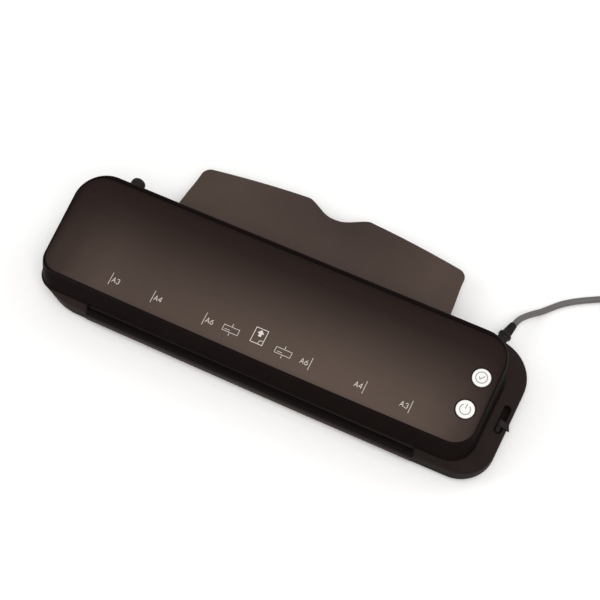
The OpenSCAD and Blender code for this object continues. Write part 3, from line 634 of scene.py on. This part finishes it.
TO_PLUG = [(PLUG_X, y, z) for y, z in ((158.6, 8.95), (155.3, 8.0), (152.0, 7.2), (149.0, 7.0))]
lead_line = through(ROUTE + coil_points() + TO_PLUG, 2.5)
lead_curve = bpy.data.curves.new("mains_lead", "CURVE")
lead_curve.dimensions = "3D"
lead_curve.bevel_depth = CORD_R * MM
lead_curve.bevel_resolution = 6
lead_curve.use_fill_caps = True
spline = lead_curve.splines.new("POLY")
spline.points.add(len(lead_line) - 1)
for knot, q in zip(spline.points, lead_line):
    knot.co = (*at(*q), 1.0)
spline.use_smooth = True
lead = bpy.data.objects.new("mains_lead", lead_curve)
bpy.context.scene.collection.objects.link(lead)
lead_curve.materials.append(MATERIALS["cord_rubber"])
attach(lead, "chassis")
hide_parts("power_cord", "cord_coil")


def ribbed(base, tip, span, ribs, groove):
    """Profile of a tapered strain relief over a span, with grooves between its ribs."""
    out = []
    for i in range(ribs):
        for share, cut in ((0.0, 0.0), (0.62, 0.0), (0.68, groove), (0.94, groove)):
            t = (i + share) / ribs
            out.append((base + (tip - base) * t - cut, span[0] + (span[1] - span[0]) * t))
    return out


relief = turned(
    [(0, -8), (5.2, -8), (5.2, 5.0), (5.6, 6.0), (6.3, 6.5), (6.3, 8.5), (6.0, 8.9), (4.8, 9.0)]
    + ribbed(4.8, 3.75, (9.6, 20.4), 4, 0.55)
    + [(3.7, 20.8), (3.6, 21.7), (3.3, 22), (0, 22)],
    axis_frame(at(*GLAND), GLAND_WAY),
)
relief = piece("lead_strain_relief", as_mesh("lead_strain_relief", relief), "chassis", "cord_rubber",
               MATERIALS["black_plastic"])
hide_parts("strain_relief")


def plug_ring(y, half_x, half_z, corner, n=10):
    """A rounded rectangle across the plug at y, centred on its pins' height."""
    points = []
    for cx, cz, a0 in ((1, 1, 0), (-1, 1, 90), (-1, -1, 180), (1, -1, 270)):
        for x, z in arc(cx * (half_x - corner), cz * (half_z - corner), corner, a0, a0 + 90, n):
            points.append(at(PLUG_X + x, y, PLUG_T / 2 + z))
    return np.array(points)


plug_rings = rounded(
    [
        plug_ring(PLUG_FACE_Y, 5.2, 5.2, 5.0),
        plug_ring(PLUG_FACE_Y - 2, 7.5, 6.2, 4.2),
        plug_ring(PLUG_FACE_Y - 8, 13.6, 6.8, 3.4),
        plug_ring(PLUG_FACE_Y - 14, 17.4, 7.0, 2.6),
        plug_ring(PLUG_FACE_Y - 26, 16.6, 6.7, 2.6),
        plug_ring(PLUG_FACE_Y - PLUG_L + 1, 14.2, 6.4, 2.2),
        plug_ring(PLUG_FACE_Y - PLUG_L, 13.2, 5.6, 1.8),
    ],
    [0, 1.5, 4, 4, 5, 0.6, 0],
)
GRIP_X, GRIP_HALF, GRIP_STEP = 20, 3.4, 3.2
plug_grips = [
    block(
        (PLUG_X + side * GRIP_X - GRIP_HALF, PLUG_FACE_Y - 24 + GRIP_STEP * k, -1),
        (PLUG_X + side * GRIP_X + GRIP_HALF, PLUG_FACE_Y - 22.6 + GRIP_STEP * k, 15),
    )
    for side in (-1, 1)
    for k in range(3)
]
plug_relief = turned(
    [(0, -1), (5.0, -1), (5.0, 0.5)]
    + ribbed(4.9, 3.8, (1.0, 22.0), 6, 0.5)
    + [(3.7, 22.6), (3.5, 24), (0, 24)],
    axis_frame(at(PLUG_X, PLUG_FACE_Y, PLUG_T / 2), (0, 1, 0)),
    48,
)
plug_mesh = carve(as_mesh("plug_body", loft(plug_rings)), plug_grips, [plug_relief])
plug = piece("plug_body", plug_mesh, "chassis", "cord_rubber")
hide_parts("mains_plug")

# ---- base casing ----

BASE_RIM = (-228.5, 228.5, -63.5, 78, 44, 31, 42, 46)
BASE_LOW = (-227, 227.5, -63.3, 77, 50, 31, 42, 46)
BASE_SOLE = (-224, 224.5, -61.2, 74, 48, 29, 41, 44)
COVER_FOOT = (-221, 211, -59, 66, 20, 24, 42, 42)
COVER_RIM = (-218.5, 209.5, -0.5, 110, 14.5, 22, 28, 30, 3)
COVER_BROW = (-218, 209, 0, 108.6, 15, 21.5, 27, 29.5, 3)
COVER_TOP = (-217.4, 208.4, 0.6, 105.8, 16, 21, 22, 28, 3)
SLOT_HALF = 163.5
BASE_BACK = 78.0
LIP_FRONT = -66.0
TRAY_X, TRAY_HALF, TRAY_TIP = -3.5, 142.0, 140.5
TRAY_Z, TRAY_T = 23.6, 2.2  # top face and thickness
TONGUES = (-85, 85)  # from the tray's middle
FEET = ((-168, -50), (168, -50), (-180, 58), (180, 58))
CASE_SCREWS = [(x, y) for x in (-204, 198) for y in (-44, 44)]
FRAME_SCREWS = [(x, y) for x in (-170, 170) for y in (-14, 8)]


def by_tray(x, half, ys, zs):
    """A box centred at x from the tray's middle, half its width to either side."""
    return block((TRAY_X + x - half, ys[0], zs[0]), (TRAY_X + x + half, ys[1], zs[1]))


base_rings = rounded(
    [
        level(BASE_SOLE, 3, 0.8), level(BASE_SOLE, 3), level(BASE_LOW, 7), level(BASE_RIM, 20),
        level(COVER_FOOT, 26.5, -1.2), level(COVER_FOOT, 26.5, 1.3), level(BASE_RIM, 20, WALL),
        level(BASE_LOW, 7, WALL), level(BASE_SOLE, 5.5, WALL),
    ],
    [0, 0.7, 2.2, 2.6, 0.35, 0, 1, 1, 0],
)


lip = along_x(
    -SLOT_HALF, SLOT_HALF,
    [
        (-62.3, 9), (LIP_FRONT + 0.9, 9.9), (LIP_FRONT + 0.2, 11.0), (LIP_FRONT, 12.2),
        (LIP_FRONT, 19.6), (LIP_FRONT + 0.3, 20.7), (LIP_FRONT + 1.2, 21.5), (-60.2, 22.5),
        (-60.2, 20), (-62.0, 18.5),
    ],
)
base_cuts = [
    block((-SLOT_HALF, -70, 22.6), (SLOT_HALF, -50, 30)),
    block((-SLOT_HALF, 55, 24.2), (SLOT_HALF, 90, 30)),
    stadium(221.5, -10, 13, 3.5, 15.2, 30.2),
    cylinder(at(*GLAND), GLAND_WAY, 5.25, -12, 12),
]
base_cuts += [by_tray(x, 15.4, (60, 92), (21, 24.3)) for x in TONGUES]
base_cuts += [upright(x, y, 8, 0, 3.8) for x, y in FEET]
base_cuts += [upright(x, y, 4.2, 0, 10.5, 32) for x, y in CASE_SCREWS]
base_cuts += [upright(x, y, 1.5, 0, 7, 24) for x, y in FRAME_SCREWS]
base_joins = [lip] + [upright(x, y, 6.2, 3.2, 24) for x, y in CASE_SCREWS]
base_joins += [
    block((212.0, -26, 5.0), (224.5, 28, 11.5)),
    block((210.0, -26, 5.0), (211.8, 28, 16.9)),
]
base_joins += [by_tray(x, 19, (62, 75), (5.0, 21)) for x in TONGUES]
base_mesh = carve(as_mesh("base_shell", loft(base_rings)), base_cuts, base_joins)
base = piece("base_shell", base_mesh, "chassis", "base_shell")
soften(base, 0.25)
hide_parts("base_casing")

# ---- top cover ----

cover_rings = rounded(
    [
        sloped(PANEL, -1.2, -0.12), sloped(PANEL, 0, -0.12), sloped(COVER_TOP, 0),
        sloped(COVER_BROW, -1.4), sloped(COVER_RIM, -4), level(COVER_FOOT, 26.6),
        level(COVER_FOOT, 26.6, WALL), sloped(COVER_RIM, -5, WALL),
        sloped(COVER_TOP, -1.2 - WALL, WALL),
    ],
    [0, 0.15, 0.9, 1.5, 2.2, 0.3, 0, 1, 0],
)
FUSE_AT = (-178, 61.9, 52)
BUTTONS = {"power": (192.0, 33.5), "ready": (193.5, 65.4)}


def button_holes():
    return [cylinder(on_panel(x, s), PANEL_UP, 9.6, -6, 3, 64) for x, s in BUTTONS.values()]


cover_cuts = [
    block((-SLOT_HALF, -70, 20), (SLOT_HALF, -50, 28.2)),
    block((-SLOT_HALF, 55, 20), (SLOT_HALF, 90, 29.5)),
    cylinder(at(*FUSE_AT), (0, 1, 0), 7.02, -20, 20, 64),
]
cover_mesh = carve(as_mesh("cover_shell", loft(cover_rings)), cover_cuts + button_holes())
cover = piece("cover_shell", cover_mesh, "chassis", "cover_shell")
soften(cover, 0.25)
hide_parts("top_cover")

panel_rings = rounded(
    [sloped(PANEL, -1.2), sloped(PANEL, -0.25), sloped(PANEL, 0, 1.6), sloped(PANEL, 0, 4)],
    [0, 0.3, 1.2, 0],
)
panel_mesh = carve(as_mesh("control_panel", loft(panel_rings)), button_holes())
panel = piece("control_panel", panel_mesh, "chassis", "panel")
soften(panel, 0.2)
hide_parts("top_panel")

# ---- printed marks ----

INK_T, INK_SINK = 0.06, 0.02  # above and below the surface it is printed on


def stroke(points, width, closed=False):
    """The left and right edges of a line of that width through (x, s) points."""
    p = [np.array(q, float) for q in points]
    n = len(p)
    pairs = []
    for i, q in enumerate(p):
        ways = []
        if i or closed:
            ways.append(q - p[i - 1])
        if i < n - 1 or closed:
            ways.append(p[(i + 1) % n] - q)
        normals = [np.array([-w[1], w[0]]) / np.linalg.norm(w) for w in ways]
        side = sum(normals)
        side = side / np.linalg.norm(side)
        side = side / max(0.35, float(side @ normals[0])) * width / 2
        pairs.append((q + side, q - side))
    return pairs


def inked(bm, points, width, place, closed=False, thick=INK_T):
    """A raised printed line as a closed thin solid. place puts (x, s, h) in the row frame."""
    rows = []
    for left, right in stroke(points, width, closed):
        corners = ((left, thick), (right, thick), (right, -INK_SINK), (left, -INK_SINK))
        rows.append([bm.verts.new(place(*q, h)) for q, h in corners])
    joints = list(zip(rows, rows[1:])) + ([(rows[-1], rows[0])] if closed else [])
    for a, b in joints:
        for k in range(4):
            j = (k + 1) % 4
            bm.faces.new((a[k], a[j], b[j], b[k]))
    if not closed:
        bm.faces.new(rows[0])
        bm.faces.new(rows[-1])


def filled(bm, points, place):
    """A raised printed shape as a closed thin solid."""
    loft([[place(x, s, h) for x, s in points] for h in (-INK_SINK, INK_T)], bm)


def ring_points(cx, cy, r, a0=0.0, a1=360.0, n=48):
    points = arc(cx, cy, r, a0, a1, n)
    return points[:-1] if a1 - a0 == 360 else points


RING_STEPS = 20  # of the closed ring in a letter
GLYPHS = {
    "A": [[(0, 0), (1.5, 4.2), (3, 0)], [(0.62, 1.45), (2.38, 1.45)]],
    "3": [arc(1.4, 3.05, 1.15, 160, -80, 12), arc(1.4, 1.2, 1.25, 80, -160, 12)],
    "4": [[(2.1, 0), (2.1, 4.2), (0, 1.35), (2.9, 1.35)]],
    "6": [
        [(2.35, 4.1), (1.2, 3.3), (0.35, 2.2), (0.15, 1.25)],
        ring_points(1.4, 1.25, 1.25, 0, 360, RING_STEPS),
    ],
}
LETTER_W, LETTER_SIZE, LETTER_STEP = 0.5, 1.1, 3.8
LABEL_W, LABEL_GAP, LABEL_DROP = 7.6, 1.8, 2.6
TICK_S, TICK_L, TICK_W = 15.9, 12.2, 0.46
CARD_X, CARD_W = 26, 0.42
MARKS = ((148.5, "A3"), (105.0, "A4"), (52.5, "A6"))

marks = bmesh.new()
for size, label in MARKS:
    for x in (-size, size):
        tick = [(x, TICK_S - TICK_L / 2), (x, TICK_S + TICK_L / 2)]
        inked(marks, tick, TICK_W, on_panel)
        left = x + LABEL_GAP if x < 0 else x - LABEL_GAP - LABEL_W
        for i, letter in enumerate(label):
            for line in GLYPHS[letter]:
                points = [
                    (
                        left + LETTER_SIZE * (LETTER_STEP * i + u),
                        TICK_S - LABEL_DROP + LETTER_SIZE * v,
                    )
                    for u, v in line
                ]
                inked(marks, points, LETTER_W, on_panel, len(line) == RING_STEPS)
for x in (-CARD_X, CARD_X):
    # a card's outline, with a line on it, between the halves of its tick
    for low, high in ((-6.1, -3.2), (3.2, 6.1)):
        inked(marks, [(x, TICK_S + low), (x, TICK_S + high)], TICK_W, on_panel)
    card = [(-7.6, -2.7), (7.6, -2.7), (7.6, 2.7), (-7.6, 2.7)]
    inked(marks, [(x + u, TICK_S + v) for u, v in card], CARD_W, on_panel, True)
    inked(marks, [(x - 5.6, TICK_S - 0.9), (x - 0.6, TICK_S - 0.9)], CARD_W, on_panel)
# a page with a folded corner and an arrow towards the slot
PAGE_S, PAGE_W, PAGE_H = 20.9, 5.8, 7.2
page = [(-PAGE_W, -PAGE_H), (PAGE_W, -PAGE_H), (PAGE_W, PAGE_H), (-PAGE_W, PAGE_H)]
inked(marks, [(u, PAGE_S + v) for u, v in page], 0.6, on_panel, True)
inked(marks, [(1.2, PAGE_S - PAGE_H), (2.2, PAGE_S - 3.6), (PAGE_W, PAGE_S - 3.2)], 0.5, on_panel)
arrow = [(-1.4, -1.2), (1.4, -1.2), (1.4, 1.7), (3.4, 1.7), (0, 5.2), (-3.4, 1.7), (-1.4, 1.7)]
filled(marks, [(u, PAGE_S + 0.9 + v) for u, v in arrow], on_panel)
piece("panel_marks", as_mesh("panel_marks", marks), "chassis", None, INK)

# ---- buttons ----

BUTTON_R, BUTTON_TOP, BUTTON_STEPS = 8.3, 0.55, 72
DISH_R, DISH_DEPTH = 7.2, 0.16
SIGN_W, SIGN_T = 0.85, 0.12


def button_top(r):
    """Height of a button's shallow dished top above the panel, at a distance from its axis."""
    return BUTTON_TOP - DISH_DEPTH * max(0.0, 1 - (r / DISH_R) ** 2)


# both profiles are (radius, height) pairs from the panel's surface
CAP_PROFILE = [
    (0, -5.6), (2, -5.6), (2, -3.2), (BUTTON_R - 0.2, -3.2), (BUTTON_R, -3.0), (BUTTON_R, -0.35),
    (BUTTON_R - 0.05, 0.02), (BUTTON_R - 0.22, 0.3), (BUTTON_R - 0.5, 0.47),
    (BUTTON_R - 0.9, BUTTON_TOP),
]
CAP_PROFILE += [(r, button_top(r)) for r in (DISH_R, 6, 4.8, 3.6, 2.4, 1.2, 0)]
BEZEL_PROFILE = [
    (9.58, -5), (9.58, -0.1), (9.45, 0.05), (9.2, 0.1), (8.95, 0.02), (8.72, -0.35), (8.7, -0.6),
    (8.7, -5),
]


for name, (bx, bs) in BUTTONS.items():
    node = f"{name}_button"
    place = axis_frame(on_panel(bx, bs), PANEL_UP)
    cap = as_mesh(f"{name}_button_cap", turned(CAP_PROFILE, place, BUTTON_STEPS))
    cap = piece(f"{name}_button_cap", cap, node, "button")
    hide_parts(node)

    def on_button(x, s, h, bx=bx, bs=bs):
        return on_panel(bx + x, bs + s, button_top(math.hypot(x, s)) + h)

    sign = bmesh.new()
    if name == "power":
        inked(sign, ring_points(0, -0.3, 4.7, 125, 415, 40), SIGN_W, on_button, False, SIGN_T)
        inked(sign, [(0, y) for y in (0.4, 1.6, 2.8, 4.0, 5.2)], SIGN_W, on_button, False, SIGN_T)
    else:
        inked(sign, ring_points(0, 0, 5.1), SIGN_W, on_button, True, SIGN_T)
        check = [(-2.3, 0.1), (-1.5, -0.8), (-0.7, -1.8), (0.5, -0.3), (1.5, 1.0), (2.5, 2.2)]
        inked(sign, check, SIGN_W, on_button, False, SIGN_T)
    piece(f"{name}_button_sign", as_mesh(f"{name}_button_sign", sign), node, None, SIGN)

    bezel = as_mesh(f"{name}_bezel", turned(BEZEL_PROFILE, place, BUTTON_STEPS))
    bezel = piece(f"{name}_bezel", bezel, "chassis", "bezel")
    if name == "power":
        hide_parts("button_bezels")

# ---- fuse cap ----

FLUTES = 24


def fluted(r):
    """A radius with shallow grip grooves round it."""
    return lambda a: r - 0.22 * max(0.0, math.cos(FLUTES * a)) ** 2


knob_profile = [
    (0, -7), (4.2, -7), (4.2, 0.4), (6.7, 0.4),
    (fluted(7.0), 0.8), (fluted(7.0), 1.6), (fluted(7.0), 2.4), (fluted(6.95), 3.0),
    (6.75, 4.1), (6.35, 5.1), (5.7, 5.95), (4.8, 6.65), (3.7, 7.2), (2.4, 7.55), (1.2, 7.7),
    (0, 7.75),
]
fuse_x, fuse_y, fuse_z = FUSE_AT
coin_slot = block(
    (fuse_x - 4.2, fuse_y + 6.5, fuse_z - 0.65), (fuse_x + 4.2, fuse_y + 9, fuse_z + 0.65)
)
fuse_bore = cylinder(at(*FUSE_AT), (0, 1, 0), 2.6, -8, 0, 32)
knob = turned(knob_profile, axis_frame(at(*FUSE_AT), (0, 1, 0)), 144)
knob = carve(as_mesh("fuse_cap_knob", knob), [coin_slot, fuse_bore])
knob = piece("fuse_cap_knob", knob, "fuse_cap", "black_plastic")
soften(knob, 0.12)
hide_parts("fuse_cap")

# ---- exit tray ----

# the finger notch: its middle from the tray's, and (distance from its middle, depth) pairs
NOTCH_X = 1.0
NOTCH = ((32.5, 0.0), (28.5, 0.9), (24, 3.1), (18.5, 6.2), (12, 9.7), (6, 11.8), (0, 12.3))


def tray_edge(x):
    """The bowed rear edge at a distance from the tray's middle."""
    return TRAY_TIP + 1.2 - 12.1 * (abs(x) / 127) ** 1.7


def tray_outline():
    """The tray's outline in millimetres from its middle, two like halves round the notch."""
    half = [(TRAY_HALF, BASE_BACK + 0.8)]
    half += [(TRAY_HALF - 3.6 * t, BASE_BACK + 0.8 + 33.2 * t) for t in (0.5, 1.0)]
    half += arc(TRAY_HALF - 13.8, 119.3, 10, -6, 80, 16)
    half += [(x, tray_edge(x)) for x in np.linspace(117.5, 34, 24)]
    notch = through([(41, tray_edge(41), 0)] + [(x, TRAY_TIP - d, 0) for x, d in NOTCH], 1.2)
    notch = [(q[0], q[1]) for q in notch if 0.5 < q[0] < 33.5]
    right = half + [(x + NOTCH_X, y) for x, y in notch]
    left = [(-x + NOTCH_X, y) for x, y in reversed(notch)] + [(-x, y) for x, y in reversed(half)]
    return right + [(NOTCH_X, TRAY_TIP - NOTCH[-1][1])] + left


def shrunk(points, inset):
    """A closed outline moved inwards along its own normals."""
    p = np.array(points, float)
    forward = np.roll(p, -1, 0) - p
    backward = p - np.roll(p, 1, 0)
    normals = []
    for w in (forward, backward):
        n = np.stack([-w[:, 1], w[:, 0]], 1)
        normals.append(n / np.maximum(np.linalg.norm(n, axis=1, keepdims=True), 1e-9))
    n = normals[0] + normals[1]
    n /= np.linalg.norm(n, axis=1, keepdims=True)
    return p + n * inset


def tray_ring(z, inset=0.0):
    root = BASE_BACK - (z - 20) / 6.5 * 10.8 + 0.4  # beside the base's sloping shoulder
    points = shrunk(tray_outline(), inset)
    return [at(TRAY_X + x, root if y < BASE_BACK + 3 else y, z) for x, y in points]


tray_low = TRAY_Z - TRAY_T
tray_levels = [
    (tray_low, 0.5), (tray_low + 0.15, 0.15), (tray_low + 0.5, 0.0),
    (TRAY_Z - 0.6, 0.0), (TRAY_Z - 0.2, 0.12), (TRAY_Z - 0.03, 0.4), (TRAY_Z, 0.8),
]
rib_zs = (tray_low - 2.4, tray_low + 0.4)
tray_joins = [by_tray(x, 15, (64, 80), (tray_low, TRAY_Z)) for x in TONGUES]
tray_joins += [by_tray(x, 1, (BASE_BACK + 2, 122), rib_zs) for x in (-110, -55, 0, 55, 110)]
tray_joins += [by_tray(0, 112, (BASE_BACK + 2, BASE_BACK + 4), rib_zs)]
tray_mesh = as_mesh("tray_plate", loft([tray_ring(z, inset) for z, inset in tray_levels]))
tray = piece("tray_plate", carve(tray_mesh, [], tray_joins), "exit_tray", "tray")
soften(tray, 0.2, 50)
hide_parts("exit_tray")

# ---- carried-over parts ----

for name, width in (
    ("release_slider", 0.35), ("rubber_feet", 0.4), ("casing_screws", 0.2), ("plug_pins", 0.15),
    ("frame_screws", 0.15), ("release_link", 0.15), ("fuse_holder", 0.2), ("terminal_block", 0.4),
    ("gear_motor", 0.5), ("control_board", 0.1), ("board_components", 0.3),
    ("upper_bushes", 0.2), ("motor_bracket", 0.2),
):
    soften(NODES[name], width)

# ---- stage ----

floor_bm = loft([[(-6, -6, z), (6, -6, z), (6, 6, z), (-6, 6, z)] for z in (-0.02, 0.0)])
floor_mesh = as_mesh("floor", floor_bm)
paper = Graph("floor_paper")
floor_mesh.materials.append(
    paper.done(
        paper.mix(paper.noise(3.0, 3.0, 0.5), srgb(247, 247, 246), srgb(251, 251, 250)),
        paper.ramp(paper.noise(30.0, 3.0, 0.5), 0.3, 0.7, 0.75, 0.85),
        Specular_IOR_Level=0.1,
    )
)
floor = bpy.data.objects.new("floor", floor_mesh)
bpy.context.scene.collection.objects.link(floor)

world = bpy.data.worlds.new("studio")
bpy.context.scene.world = world
world.use_nodes = True
sky = next(n for n in world.node_tree.nodes if n.type == "BACKGROUND")
sky.inputs["Color"].default_value = (1.0, 1.0, 1.0, 1.0)
sky.inputs["Strength"].default_value = 0.6
bpy.context.scene.view_settings.view_transform = "Standard"


def softbox(name, place, target, size, power, tint=(1.0, 1.0, 1.0)):
    data = bpy.data.lights.new(name, "AREA")
    data.shape = "RECTANGLE"
    data.size, data.size_y = size
    data.energy = power
    data.color = tint
    lamp = bpy.data.objects.new(name, data)
    bpy.context.scene.collection.objects.link(lamp)
    lamp.location = place
    lamp.rotation_mode = "QUATERNION"
    lamp.rotation_quaternion = (Vector(target) - Vector(place)).to_track_quat("-Z", "Y")


softbox("key", (0.8, -1.15, 2.4), (0, -0.05, 0.03), (1.6, 1.6), 40, (1.0, 0.985, 0.965))
softbox("fill", (-1.5, -0.8, 1.6), (0, 0, 0.03), (1.4, 1.0), 8)
softbox("rim", (1.3, 1.6, 1.6), (0, 0, 0.03), (1.4, 1.0), 8, (0.97, 0.98, 1.0))
